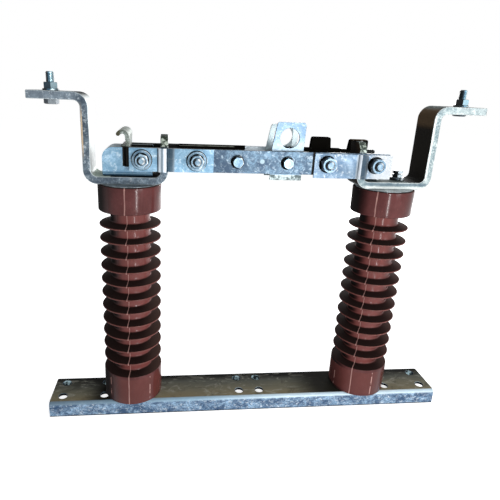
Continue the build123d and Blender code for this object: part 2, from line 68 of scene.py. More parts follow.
# Camera, lamps, world and floor, in metres.
camera = {
    "place": (-0.1281, -0.6241, 0.4704),
    "turn": (72.229, -2.304, -6.225),
    "lens": 33.066,
    "sensor": 36,
    "nearest": 0.01,
    "shift": (0.0570, -0.0222),
}
cameraData = bpy.data.cameras.new("studioCamera")
cameraData.lens = camera["lens"]
cameraData.sensor_width = camera["sensor"]
cameraData.shift_x, cameraData.shift_y = camera["shift"]
cameraData.clip_start = camera["nearest"]
cameraObject = bpy.data.objects.new("studioCamera", cameraData)
cameraObject.location = camera["place"]
cameraObject.rotation_euler = [radians(a) for a in camera["turn"]]
bpy.context.scene.collection.objects.link(cameraObject)
bpy.context.scene.camera = cameraObject
bpy.context.scene.view_settings.view_transform = "Standard"

lamps = {
    "key": {"place": (1.3, -1.6, 0.7), "size": (0.6, 0.9), "power": 14.8},
    "top": {"place": (0.3, -0.1, 1.7), "size": (1.2, 1.2), "power": 6},
    "strip": {"place": (0.19, -0.72, 0.29), "size": (0.008, 0.54), "power": 3.3},
    "back": {"place": (0.75, 1.5, 0.7), "size": (0.8, 0.8), "power": 20},
}
lampTarget = Vector((0, 0, 0.25))  # every lamp looks at it
for name, lamp in lamps.items():
    lampData = bpy.data.lights.new(name, "AREA")
    lampData.shape = "RECTANGLE"
    lampData.size, lampData.size_y = lamp["size"]
    lampData.energy = lamp["power"]
    lampObject = bpy.data.objects.new(name, lampData)
    lampObject.location = lamp["place"]
    aim = lampTarget - Vector(lamp["place"])
    lampObject.rotation_euler = aim.to_track_quat("-Z", "Y").to_euler()
    bpy.context.scene.collection.objects.link(lampObject)


def put(tree, value, socket):  # a socket's own value, or a link into it
    if isinstance(value, bpy.types.NodeSocket):
        tree.links.new(value, socket)
    else:
        socket.default_value = value


def maths(tree, operation, *values):
    node = tree.nodes.new("ShaderNodeMath")
    node.operation = operation
    for value, socket in zip(values, node.inputs):
        put(tree, value, socket)
    return node.outputs[0]


# 1 for a ray from the camera, a mirror or glass, and 0 for one that lights the object
def seenDirectly(tree):
    path = tree.nodes.new("ShaderNodeLightPath").outputs
    mirrored = maths(tree, "MAXIMUM", path["Is Glossy Ray"], path["Is Transmission Ray"])
    return maths(tree, "MAXIMUM", path["Is Camera Ray"], mirrored)


room = {"ambient": 0.2, "tint": (0.88, 0.94, 1.0, 1), "wall": (1, 1, 1, 1),
        "floorColour": (0.8, 0.8, 0.8, 1), "floorGlow": 0.86, "floorSize": 6}
world = bpy.data.worlds.new("studio")
bpy.context.scene.world = world
world.use_nodes = True
worldTree = world.node_tree
ambient = worldTree.nodes["Background"]
ambient.inputs["Color"].default_value = room["tint"]
ambient.inputs["Strength"].default_value = room["ambient"]
whiteWall = worldTree.nodes.new("ShaderNodeBackground")
whiteWall.inputs["Color"].default_value = room["wall"]
wallMix = worldTree.nodes.new("ShaderNodeMixShader")
worldTree.links.new(seenDirectly(worldTree), wallMix.inputs[0])
worldTree.links.new(ambient.outputs[0], wallMix.inputs[1])
worldTree.links.new(whiteWall.outputs[0], wallMix.inputs[2])
worldTree.links.new(wallMix.outputs[0], worldTree.nodes["World Output"].inputs["Surface"])

floorMesh = bpy.data.meshes.new("floor")
build = bmesh.new()
bmesh.ops.create_grid(build, x_segments=1, y_segments=1, size=room["floorSize"])
build.to_mesh(floorMesh)
build.free()
floor = bpy.data.objects.new("floor", floorMesh)
bpy.context.scene.collection.objects.link(floor)
floorMaterial = bpy.data.materials.new("paleFloor")
floorMaterial.use_nodes = True
floorTree = floorMaterial.node_tree
floorPaint = floorTree.nodes["Principled BSDF"].inputs
floorPaint["Base Color"].default_value = room["floorColour"]
floorPaint["Roughness"].default_value = 1.0
floorPaint["Specular IOR Level"].default_value = 0
floorPaint["Emission Color"].default_value = room["wall"]
put(floorTree, maths(floorTree, "MULTIPLY", seenDirectly(floorTree), room["floorGlow"]),
    floorPaint["Emission Strength"])
floorMesh.materials.append(floorMaterial)
print("camera, lamps and floor done")


# Helpers for materials. Every pattern is on Object coordinates.
def tone(red, green, blue):  # a screen colour, 0 to 255, as the linear colour of a shader
    parts = [c / 255 for c in (red, green, blue)]
    return tuple(c / 12.92 if c <= 0.04045 else ((c + 0.055) / 1.055) ** 2.4 for c in parts) + (1,)


def newMaterial(name, look):
    material = bpy.data.materials.new(name)
    material.use_nodes = True
    shader = material.node_tree.nodes["Principled BSDF"].inputs
    shader["Metallic"].default_value = look["metallic"]
    shader["Roughness"].default_value = look["roughness"]
    shader["Specular IOR Level"].default_value = look["specular"]
    return material, material.node_tree, shader


def times(tree, first, *others):
    for other in others:
        first = maths(tree, "MULTIPLY", first, other)
    return first


def coordinate(tree, kind, letter):
    output = tree.nodes.new("ShaderNodeTexCoord").outputs[kind]
    split = tree.nodes.new("ShaderNodeSeparateXYZ")
    tree.links.new(output, split.inputs[0])
    return split.outputs[letter]


def millimetres(tree, letter):  # where a point lies along one axis
    return times(tree, coordinate(tree, "Object", letter), 1 / mm)


def noise(tree, scale, detail, rough, stretch=(1, 1, 1), distortion=0.0):
    mapping = tree.nodes.new("ShaderNodeMapping")
    mapping.inputs["Scale"].default_value = stretch
    place = tree.nodes.new("ShaderNodeTexCoord").outputs["Object"]
    tree.links.new(place, mapping.inputs["Vector"])
    node = tree.nodes.new("ShaderNodeTexNoise")
    tree.links.new(mapping.outputs[0], node.inputs["Vector"])
    node.inputs["Scale"].default_value = scale
    node.inputs["Detail"].default_value = detail
    node.inputs["Roughness"].default_value = rough
    node.inputs["Distortion"].default_value = distortion
    return node.outputs[0]


def span(tree, value, low, high):  # 0 at low and 1 at high, eased between; low may be larger
    node = tree.nodes.new("ShaderNodeMapRange")
    node.interpolation_type = "SMOOTHSTEP"
    put(tree, value, node.inputs["Value"])
    node.inputs["From Min"].default_value = low
    node.inputs["From Max"].default_value = high
    return node.outputs[0]


def share(tree, value, low, high):  # 0 at low and 1 at high, straight between and beyond
    return maths(tree, "MULTIPLY_ADD", value, 1 / (high - low), -low / (high - low))


def swing(tree, value, amount):  # a value of 0 to 1 becomes minus to plus half the amount
    return maths(tree, "MULTIPLY_ADD", value, amount, -amount / 2)


def away(tree, first, second):  # the distance of two lengths at right angles
    squares = [maths(tree, "POWER", value, 2) for value in (first, second)]
    return maths(tree, "SQRT", maths(tree, "ADD", *squares))


def mix(tree, factor, first, second, way="MIX"):
    node = tree.nodes.new("ShaderNodeMix")
    node.data_type = "RGBA"
    node.blend_type = way
    for value, socket in zip((factor, first, second), (0, 6, 7)):
        put(tree, value, node.inputs[socket])
    return node.outputs[2]


def ramp(tree, value, stops):  # stops: pairs of a value, 0 to 1, and a colour
    node = tree.nodes.new("ShaderNodeValToRGB")
    put(tree, value, node.inputs[0])
    elements = node.color_ramp.elements
    while len(elements) < len(stops):
        elements.new(0.5)
    for element, (position, colour) in zip(elements, stops):
        element.position = position
        element.color = colour
    return node.outputs[0]


def bump(tree, shader, height, strength):
    node = tree.nodes.new("ShaderNodeBump")
    node.inputs["Strength"].default_value = strength
    node.inputs["Distance"].default_value = 0.3 * mm
    tree.links.new(height, node.inputs["Height"])
    tree.links.new(node.outputs[0], shader["Normal"])


# Areas: each is 1 where something is painted, and 0 elsewhere. Spot and scattered make one.
def facing(tree, letter, low, high):  # low and high are parts of the normal
    return span(tree, coordinate(tree, "Normal", letter), low, high)


def band(tree, letter, low, high, fade=0.3):  # between two places along an axis, in mm
    value = millimetres(tree, letter)
    return times(tree, span(tree, value, low - fade, low + fade),
                 span(tree, value, high + fade, high - fade))


def inward(tree):  # the faces that look at the mid-plane of the switch, between its two bars
    side = times(tree, millimetres(tree, "Y"), 0.4)  # held to -1 in front of it and 1 behind it
    side = maths(tree, "MINIMUM", maths(tree, "MAXIMUM", side, -1), 1)
    return span(tree, times(tree, side, coordinate(tree, "Normal", "Y")), -0.3, -0.8)


def frontEdge(tree):  # the rounded corners of the faces that look to the front
    return times(tree, facing(tree, "Y", -0.2, -0.45), facing(tree, "Y", -0.98, -0.9))


def spot(x, z, radius, fade=1.2):  # a round spot seen from the front
    def area(tree):
        across, rise = (maths(tree, "SUBTRACT", millimetres(tree, letter), at)
                        for letter, at in (("X", x), ("Z", z)))
        return span(tree, away(tree, across, rise), radius, radius - fade)
    return area


# clouds, where the noise rises from low to high
def scattered(scale, detail, rough, low, high, stretch=(1, 1, 1), distortion=0.0):
    def area(tree):
        return span(tree, noise(tree, scale, detail, rough, stretch, distortion), low, high)
    return area


# Paints patches over a shade, in order. A patch lies between two places given as x, y or z, in
# mm, where a third number says how soft its ends are. It may keep clear of a band, take only
# faces of one direction or an area, and cover by an amount. It has a colour, or a tint that
# darkens what is under it.
def patched(tree, shade, patches):
    for patch in patches:
        parts = [band(tree, letter.upper(), *patch[letter]) for letter in "xyz" if letter in patch]
        if "clear" in patch:
            parts.append(maths(tree, "SUBTRACT", 1, band(tree, *patch["clear"])))
        if "faces" in patch:
            parts.append(facing(tree, *patch["faces"]))
        if "area" in patch:
            parts.append(patch["area"](tree))
        if "amount" in patch:
            parts.append(patch["amount"])
        if "tint" in patch:
            colour = mix(tree, 1.0, shade, patch["tint"], "MULTIPLY")
        else:
            colour = patch["colour"](tree) if callable(patch["colour"]) else patch["colour"]
        shade = mix(tree, times(tree, *parts), shade, colour)
    return shade


# Metal with a mottled coat: two tones in clouds, grain, pale flecks, and tints by direction:
# dust on faces that look up, and painted shade on faces that look left or down.
# Coat gives the values of the noise between which each of them rises, and how much rougher the
# matt faces are.
coat = {"clouds": (0.36, 0.66), "grain": (0.58, 0.36), "flecks": (0.52, 0.68), "matt": 0.5}


def plated(name, look):
    material, tree, shader = newMaterial(name, look)
    stretch = look.get("stretch", (1, 1, 1))
    clouds = span(tree, noise(tree, look["clouds"], 6, 0.68, stretch, 0.6), *coat["clouds"])
    shade = mix(tree, clouds, look["dark"], look["mid"])
    grain = span(tree, noise(tree, look["grain"], 3, 0.6, stretch), *coat["grain"])
    shade = mix(tree, times(tree, grain, look["grainAmount"]), shade, look["dark"])
    flecks = span(tree, noise(tree, look["flecks"], 5, 0.72, stretch, 0.8), *coat["flecks"])
    shade = mix(tree, times(tree, flecks, look["fleckAmount"]), shade, look["pale"])
    # dust on the tops, and painted shade on faces that look left or down
    dustAndShade = [{"faces": faces, "tint": tint} for *faces, tint in look["dustAndShade"]]
    shade = patched(tree, shade, dustAndShade)
    shade = patched(tree, shade, look["patches"])
    put(tree, shade, shader["Base Color"])
    if "matt" in look:
        dull = 0
        for direction in look["matt"]:
            dull = maths(tree, "MAXIMUM", dull, facing(tree, *direction))
        dull = maths(tree, "MULTIPLY_ADD", dull, coat["matt"], look["roughness"])
        put(tree, dull, shader["Roughness"])
    bump(tree, shader, noise(tree, look["flecks"] * 1.6, 4, 0.6), look["bump"])
    return material


# Directions of faces: a letter, and the parts of the normal where they start and are full.
front = ("Y", -0.5, -0.9)
upward = ("Z", 0.4, 0.9)
leftward = ("X", -0.35, -0.8)

# Painted shade: it is dark between the bars where the stiffener, the arm or the bracket covers
# them. Painted light: it is pale where nothing does.
litInsideTin = tone(214, 224, 230)
shadeBetweenBars = (
    {"area": inward, "colour": tone(30, 32, 31)},
    {"area": inward, "x": (-240, -190, 3), "colour": litInsideTin},
    {"area": inward, "x": (-23, 20, 3), "colour": litInsideTin},
)

# The foot of the hinge bracket is streaked dark blue, and the bracket has a black painted shadow
# beside its slot.
hingeZinc = {
    "metallic": 0.3, "roughness": 0.38, "specular": 0.12, "clouds": 40, "grain": 420, "flecks": 150,
    "grainAmount": 0.55, "fleckAmount": 0.7, "bump": 0.12,
    "dark": tone(116, 156, 184), "mid": tone(172, 208, 232), "pale": tone(226, 242, 248),
    "dustAndShade": (("Z", 0.3, 0.9, tone(110, 110, 104)), ("X", -0.5, -0.9, tone(70, 74, 76)),
              ("Z", -0.3, -0.9, tone(120, 130, 135))),
}
footStreaksAndSlotShadow = (
    {"z": (350, 366.5, 0.5), "amount": 0.75, "colour": tone(58, 92, 118)},
    {"z": (363.4, 364.4), "amount": 0.7, "colour": tone(150, 190, 212)},
    # painted shadow beside the bracket's slot
    {"x": (-186.9, -184, 0.2), "z": (373.8, 402), "colour": tone(26, 24, 20)},
)
bracketZinc = plated("bracketZinc", dict(hingeZinc, patches=footStreaksAndSlotShadow + shadeBetweenBars))

# The ribs of the spring plates carry a painted reflection of the room: upright bright and dark
# stripes. Stops are (mm from the middle of the rib, 0 to 1 from dark to bright).
ribReflections = {
    "hinge": {"middle": -135.5, "stops": (
        (-6.3, 0.1), (-5.8, 1), (-3, 1), (-2.2, 0.5), (0.4, 0.5), (1.2, 1), (4.5, 1), (5.2, 0.02),
        (8, 0.0), (12, 0.14), (15, 0.5))},
    "jaw": {"middle": 131.5, "stops": (
        (-9, 0.6), (-6.2, 0.6), (-5.6, 1), (-3.6, 1), (-3.0, 0.02), (2.0, 0.06), (7, 0.6))},
    "dark": (28, 44, 56), "bright": (233, 240, 246), "reach": 16, "fade": 1.2, "amount": 0.88,
}


def reflectionTone(level):
    return tone(*(dark + (bright - dark) * level
                  for dark, bright in zip(ribReflections["dark"], ribReflections["bright"])))


def paintedRibReflection(rib):
    reach, centre = ribReflections["reach"], rib["middle"]
    colours = [((place / reach + 1) / 2, reflectionTone(level)) for place, level in rib["stops"]]

    def roomReflection(tree):
        along = share(tree, millimetres(tree, "X"), centre - reach, centre + reach)
        return ramp(tree, along, colours)

    first, last = (rib["stops"][end][0] + centre for end in (0, -1))
    return {"x": (first, last, ribReflections["fade"]), "amount": ribReflections["amount"], "colour": roomReflection}


hingePlateZinc = plated("hingePlateZinc", dict(
    hingeZinc, patches=shadeBetweenBars + (paintedRibReflection(ribReflections["hinge"]),)))
jawPlateZinc = plated("jawPlateZinc", dict(
    hingeZinc, dark=tone(96, 122, 148), mid=tone(152, 174, 194), pale=tone(226, 234, 238),
    grainAmount=0.4, patches=shadeBetweenBars + (
        paintedRibReflection(ribReflections["jaw"]),
        # painted light on the plates' ends
        {"x": (145, 200, 7), "amount": 0.75, "colour": tone(204, 207, 208)},  # the plates' ends
    )))

# A painted shadow lies on the bars along the jaw plates' edges, and there are two small spots: a
# pale one left of the ring bracket and a dark one right of it.
bladeTin = plated("bladeTin", {
    "metallic": 0.3, "roughness": 0.42, "specular": 0.12, "clouds": 55, "grain": 380, "flecks": 170,
    "grainAmount": 0.7, "fleckAmount": 0.6, "bump": 0.15,
    "dark": tone(65, 83, 103), "mid": tone(113, 140, 161), "pale": tone(196, 215, 228),
    "dustAndShade": (("Z", 0.3, 0.9, tone(110, 108, 100)), ("X", -0.3, -0.8, tone(70, 74, 76))),
    "patches": (
        # painted shadow along the jaw plates' edges
        {"x": (62.0, 65.5), "colour": tone(12, 13, 13)},
        {"area": spot(-5.6, 385, 3.6), "faces": front, "amount": 0.55,
         "colour": tone(186, 208, 216)},
        {"area": spot(58.8, 385, 1.6), "faces": front, "amount": 0.55, "colour": tone(24, 28, 32)},
    ) + shadeBetweenBars,
})


def mottled(scale, dark, pale):  # a stain of two tones in coarse grains
    def colour(tree):
        return mix(tree, scattered(scale, 3, 0.6, 0.42, 0.58)(tree), dark, pale)
    return colour


# The rear plate of the ring bracket and the low part of the front one are paler. Its foot,
# below the bars, is stained.
ringZinc = plated("ringZinc", {
    "metallic": 0.3, "roughness": 0.38, "specular": 0.12, "clouds": 45, "grain": 420, "flecks": 150,
    "grainAmount": 0.4, "fleckAmount": 0.6, "bump": 0.1,
    "dark": tone(116, 144, 170), "mid": tone(150, 175, 195), "pale": tone(206, 218, 227),
    "dustAndShade": (("X", -0.3, -0.8, tone(40, 44, 46)), ("Z", -0.3, -0.9, tone(120, 124, 120)),
              ("Z", 0.4, 0.9, tone(190, 190, 186))),
    "patches": (
        {"y": (0, 30), "amount": 0.75, "colour": tone(190, 202, 200)},
        {"z": (396, 409, 4), "amount": 0.35, "colour": tone(192, 208, 214)},
        {"z": (350, 367), "colour": mottled(190, tone(78, 90, 92), tone(168, 182, 184))},
    ),
})

# The left end of the stop is dull brown, and it is painted black with shadow where it stands in
# the bracket's slot.
stopZinc = plated("stopZinc", {
    "metallic": 0.3, "roughness": 0.42, "specular": 0.12, "clouds": 60, "grain": 420, "flecks": 150,
    "grainAmount": 0.6, "fleckAmount": 0.5, "bump": 0.15,
    "dark": tone(78, 84, 76), "mid": tone(150, 162, 156), "pale": tone(232, 240, 240),
    "dustAndShade": (("X", -0.2, -0.8, tone(56, 58, 52)), ("Z", -0.2, -0.8, tone(60, 62, 56))),
    "patches": (
        {"x": (-200, -188.6, 1.2), "colour": tone(74, 72, 56)},
        # painted shadow in the bracket's slot
        {"z": (360, 399.5, 1), "colour": tone(26, 24, 20)},
    ),
})


# The sides of the terminal bars that look left are painted with dull brown shade, and those that
# look right are painted bright with light. The fronts of the tops of the contact legs are stained.
def brownShade(tree):
    patches = span(tree, noise(tree, 16, 3, 0.5, (1, 0.5, 1.6)), 0.52, 0.75)
    brown = mix(tree, patches, tone(17, 14, 9), tone(84, 64, 44))
    return patched(tree, brown, [{"z": (436, 470, 5), "amount": 0.6, "colour": tone(104, 84, 62)}])


litAndShadedSides = (
    {"faces": leftward, "colour": brownShade},
    {"faces": ("X", 0.4, 0.9), "amount": 0.8, "colour": tone(232, 236, 234)},
)
contactStain = {"z": (400, 420), "faces": ("Y", -0.3, -0.7), "amount": 0.8,
                "colour": mottled(210, tone(46, 54, 42), tone(198, 210, 196))}
# a painted highlight along the rounded front edges
edgeHighlight = {"area": frontEdge, "clear": ("Z", 401, 420)}  # not along the contact legs' tops
leftTin = {
    "metallic": 0.35, "roughness": 0.4, "specular": 0.12, "clouds": 70, "grain": 380, "flecks": 200,
    "grainAmount": 0.7, "fleckAmount": 0.6, "bump": 0.12, "matt": (leftward, upward),
    "dark": tone(70, 82, 94), "mid": tone(122, 138, 150), "pale": tone(210, 220, 226),
    "dustAndShade": (("Z", 0.4, 0.95, tone(84, 84, 78)),),
    "patches": litAndShadedSides + (
        # the top of the foot, painted dark with the blade's shadow, and pale beside the leg
        {"x": (-160, -120, 1), "z": (340, 372), "faces": ("Z", 0.2, 0.6),
         "colour": tone(12, 12, 11)},
        {"x": (-226, -203, 1), "z": (340, 372), "faces": ("Z", 0.2, 0.6),
         "colour": tone(150, 162, 154)},
        # the top of the contact leg
        {"x": (-145, -120), "z": (399, 420), "amount": 0.6, "colour": tone(52, 60, 54)},
        dict(contactStain, x=(-145, -120)),
        # copper worn bare along the leg, and painted light on the pad
        {"x": (-240, -234.6), "z": (390, 440, 14), "faces": front, "colour": tone(206, 184, 156)},
        {"x": (-302, -242, 4), "z": (450, 466), "amount": 0.16, "colour": tone(214, 230, 244)},
        dict(edgeHighlight, amount=0.6, colour=tone(206, 216, 218)),
    ),
}

# The right bar is paler. Its front has a grey streak along the foot, a pale one below that,
# another down the leg, and a paler pad. The top of its foot beside the leg, in the inner bend, is
# painted dark with shade.
barLight = tone(222, 227, 224)
rightTin = dict(
    leftTin, dark=tone(110, 128, 134), mid=tone(178, 190, 190), pale=tone(226, 232, 230),
    grainAmount=0.6, dustAndShade=(("Z", 0.4, 0.95, tone(150, 150, 146)),),
    patches=litAndShadedSides + (
        {"x": (142, 232, 4), "z": (355.5, 358.5, 0.8), "faces": front, "amount": 0.8,
         "colour": tone(86, 104, 116)},
        {"x": (142, 232, 4), "z": (350.5, 354, 0.8), "faces": front, "amount": 0.75,
         "colour": barLight},
        {"x": (226, 230, 0.8), "z": (364, 450, 6), "faces": front, "amount": 0.75,
         "colour": barLight},
        {"x": (252, 302, 6), "faces": front, "amount": 0.15, "colour": barLight},
        dict(contactStain, x=(120, 145)),
        # painted shade in the inner bend
        {"x": (205, 240, 4), "z": (340, 385), "faces": ("Z", 0.15, 0.5), "colour": tone(14, 12, 9)},
        dict(edgeHighlight, amount=0.7, colour=tone(226, 232, 232)),
    ),
)
leftTerminalTin = plated("leftTerminalTin", leftTin)
rightTerminalTin = plated("rightTerminalTin", rightTin)


# The web of the channel is brown, scuffed and smudged, darkest at its rear edge, and a painted
# shadow lies on the left of each post. Across runs from 0 at the front edge to 1 at the rear, and
# each post shadow is where it starts, where it is full, where it starts to end and where it has
# ended along the channel, in mm.
webPaint = {
    "smear": 0.5,
    "across": ((0.0, tone(122, 112, 88)), (0.3, tone(108, 104, 88)), (0.62, tone(82, 83, 76)),
               (0.86, tone(14, 14, 13))),
    "scuff": {"area": scattered(70, 5, 0.7, 0.5, 0.72, (0.5, 1, 1), 1.5), "amount": 0.5,
              "colour": tone(166, 164, 152)},
    "smudge": {"area": scattered(45, 5, 0.7, 0.5, 0.7, (0.6, 1, 1), 1.2), "amount": 0.6,
               "colour": tone(52, 50, 42)},
    "postShadows": ((-262, -222, -180, -160), (52, 116, 180, 200)), "postShadowAmount": 0.94,
    "postShadowColour": tone(11, 10, 8),
}


def webShade(tree):
    low, high = corners("base_channel")
    smears = swing(tree, noise(tree, 30, 4, 0.6, (0.35, 1, 1), 0.5), webPaint["smear"])
    across = share(tree, millimetres(tree, "Y"), low.y, high.y)
    web = ramp(tree, maths(tree, "ADD", across, smears), webPaint["across"])
    web = patched(tree, web, (webPaint["scuff"], webPaint["smudge"]))
    along = millimetres(tree, "X")
    for start, full, ending, ended in webPaint["postShadows"]:
        postShadow = times(tree, span(tree, along, start, full), span(tree, along, ended, ending))
        web = mix(tree, times(tree, postShadow, webPaint["postShadowAmount"]), web, webPaint["postShadowColour"])
    return web


# where the highlight of the fold is painted
def frontFold(tree):  # the rounded fold along the front, and less so the top of the front flange
    slope = times(tree, coordinate(tree, "Normal", "Y"), coordinate(tree, "Normal", "Z"), -1)
    upper = times(tree, band(tree, "Z", 19, 30, 1.5), facing(tree, *front), 0.45)
    return maths(tree, "MAXIMUM", span(tree, slope, 0.12, 0.4), upper)


# a painted highlight on the fold, brighter towards the right
def paleHighlight(tree):  # bright metal, brighter towards the right
    along = share(tree, millimetres(tree, "X"), -300, 300)
    return ramp(tree, along, ((0.0, tone(116, 138, 154)), (0.35, tone(150, 180, 200)),
                              (0.6, tone(206, 224, 234))))


def rearFold(tree):
    return times(tree, facing(tree, "Y", 0.1, 0.35), facing(tree, "Z", 0.05, 0.3))


# The inside of the channel, seen through the holes: painted shade with painted glints.
def insideShadeAndGlints(tree):
    gleam = scattered(150, 2, 0.5, 0.46, 0.56)(tree)
    return mix(tree, gleam, tone(40, 52, 56), tone(186, 214, 222))


galvanised = plated("galvanisedSteel", {
    "metallic": 0.3, "roughness": 0.46, "specular": 0.1, "clouds": 110, "grain": 640, "flecks": 300,
    "grainAmount": 0.8, "fleckAmount": 0.65, "stretch": (0.7, 1, 1), "bump": 0.2,
    "matt": (("Z", 0.2, 0.9),),
    "dark": tone(64, 88, 118), "mid": tone(160, 192, 220), "pale": tone(242, 249, 253),
    "dustAndShade": (("Z", -0.3, -0.9, tone(90, 96, 100)),),
    "patches": (
        {"faces": ("Z", 0.75, 0.95), "colour": webShade},
        {"area": frontFold, "amount": 0.9, "colour": paleHighlight},
        {"z": (-5, 1.6, 0.8), "colour": tone(14, 17, 20)},  # the lower edges
        # painted shadow in the walls of the holes
        {"y": (-26, 26), "z": (19.6, 23.7, 0.1), "colour": tone(14, 17, 20)},  # walls of the holes
        {"area": rearFold, "colour": tone(12, 12, 11)},
        {"area": inward, "colour": insideShadeAndGlints},
    ),
})


# The sides of nuts and heads are painted with light and shade: black on the left, bright towards
# the right and grey at the far right, and their tops are painted dark.
def nutLightAndShade(tree):
    turn = share(tree, coordinate(tree, "Normal", "X"), -1, 1)
    return ramp(tree, turn, ((0.55, tone(160, 186, 200)), (0.62, tone(236, 244, 248)),
                             (0.78, tone(236, 244, 248)), (0.9, tone(70, 84, 92))))


insertLook = {
    "metallic": 0.4, "roughness": 0.3, "specular": 0.4, "clouds": 90, "grain": 500, "flecks": 220,
    "grainAmount": 0.4, "fleckAmount": 0.4, "bump": 0.05,
    "dark": tone(84, 92, 96), "mid": tone(150, 160, 164), "pale": tone(228, 240, 248),
    "dustAndShade": (), "patches": (),
}
boltLook = dict(insertLook, dark=tone(96, 128, 152), mid=tone(164, 194, 214), patches=(
    {"faces": ("X", 0.1, 0.2), "colour": nutLightAndShade},
    {"faces": ("X", -0.1, -0.3), "colour": tone(44, 58, 68)},
    {"faces": ("X", -0.35, -0.75), "colour": tone(10, 12, 14)},
    # painted shade under the pads
    {"z": (440, 453.5), "amount": 0.8, "colour": tone(42, 58, 70)},  # under the pads
    {"z": (464, 490), "amount": 0.7, "tint": tone(206, 246, 255)},  # bluish above them
    {"faces": ("Z", 0.55, 0.9), "colour": tone(40, 50, 56)},
    {"faces": ("Z", -0.55, -0.9), "colour": tone(40, 50, 56)},
))
insertSteel = plated("insertSteel", insertLook)
boltZinc = plated("boltZinc", boltLook)
dullBolt = plated("dullBolt", dict(boltLook, dark=tone(30, 38, 42), mid=tone(84, 98, 104),
                                   pale=tone(190, 204, 208)))

# Black oxide, with a painted highlight along the top of the stiffener and one along the front of
# the arm's flange, and the top of the arm's hook is brown.
oxide = {"metallic": 0.0, "roughness": 0.7, "specular": 0.0,
         "base": tone(14, 13, 11), "worn": tone(58, 59, 53), "paleHighlight": tone(150, 154, 142),
         "brownTop": tone(104, 84, 58)}


def oxidised(name):
    material, tree, shader = newMaterial(name, oxide)
    shade = patched(tree, oxide["base"], (
        {"area": scattered(60, 5, 0.7, 0.55, 0.75), "amount": 0.35, "colour": oxide["worn"]},
        {"x": (-116, -40, 2), "y": (-2, 9, 2), "faces": ("Z", 0.5, 0.9),
         "area": scattered(45, 2, 0.5, 0.36, 0.5), "amount": 0.7, "colour": oxide["paleHighlight"]},
        {"x": (16, 64, 3), "z": (401.3, 402.3), "faces": front, "amount": 0.8,
         "colour": oxide["paleHighlight"]},
        {"x": (116, 148, 2), "z": (414.5, 418, 0.5), "amount": 0.55, "colour": oxide["brownTop"]},
    ))
    put(tree, shade, shader["Base Color"])
    bump(tree, shader, noise(tree, 160, 4, 0.6), 0.15)
    return material


darkSteel = oxidised("darkSteel")

# Red-brown cast resin, with painted light and shade: the tops and undersides of the sheds are
# painted dark, the cores and rims paler. Amounts are how much each tone covers. The pairs in mm,
# of radius, height or place right of the axis, are where an area starts and where it is full. For
# each post, flank is the part of the normal from which the left side darkens with painted
# shade, footSpared how much of that the foot is spared, farShade how much the right side is
# shaded, and seamAt the direction of the mould seam, in degrees from the front. Marks are shorter
# lines beside the seam.
resin = {
    "metallic": 0.0, "roughness": 0.16, "dusty": 1.0, "specular": 0.17,
    "dark": tone(84, 43, 42), "light": tone(101, 56, 55), "speck": tone(170, 120, 112),
    "top": tone(27, 11, 8), "topRight": tone(58, 38, 32), "core": tone(126, 69, 65),
    "under": tone(60, 32, 30), "flank": tone(8, 3, 3), "rim": tone(120, 72, 66),
    "foot": tone(106, 56, 50), "shaded": tone(72, 38, 36), "seam": tone(190, 146, 138),
    "amounts": {"core": 0.85, "speck": 0.12, "foot": 0.5, "rim": 0.75},
    "coreRadius": (31, 28), "rimRadius": (40.6, 41.3), "topRightPlace": (12, 42),
    "footLow": (26, 30), "footHigh": (67, 65), "shedsLow": (72, 76), "shedsHigh": (312, 308),
    "seamWander": 0.05, "seamWidth": (0.026, 0.008), "marks": (-41, 43),
    "left": {"flank": (-0.3, -0.85), "footSpared": 0.0, "farShade": 0.0, "seamAt": -5},
    "right": {"flank": (-0.7, -0.98), "footSpared": 0.75, "farShade": 0.6, "seamAt": -34},
}


# Pale broken lines down the post: the seam, a little crooked, and the marks on its foot.
def seamLines(tree, shade, seamAt, fromAxis, onFoot):
    wander = swing(tree, noise(tree, 38, 3, 0.5, (0.2, 0.2, 1)), resin["seamWander"])
    bearing = maths(tree, "ARCTAN2", fromAxis, times(tree, millimetres(tree, "Y"), -1))
    bearing = maths(tree, "ADD", bearing, wander)
    lines = [(seamAt, maths(tree, "MULTIPLY_ADD", noise(tree, 90, 2, 0.5), 0.9, 0.25))]
    for mark in resin["marks"]:
        lines.append((seamAt + mark, times(tree, onFoot, scattered(120, 2, 0.5, 0.45, 0.55)(tree))))
    for direction, strength in lines:
        offset = maths(tree, "ABSOLUTE", maths(tree, "SUBTRACT", bearing, radians(direction)))
        line = times(tree, span(tree, offset, *resin["seamWidth"]), strength)
        shade = mix(tree, line, shade, resin["seam"])
    return shade


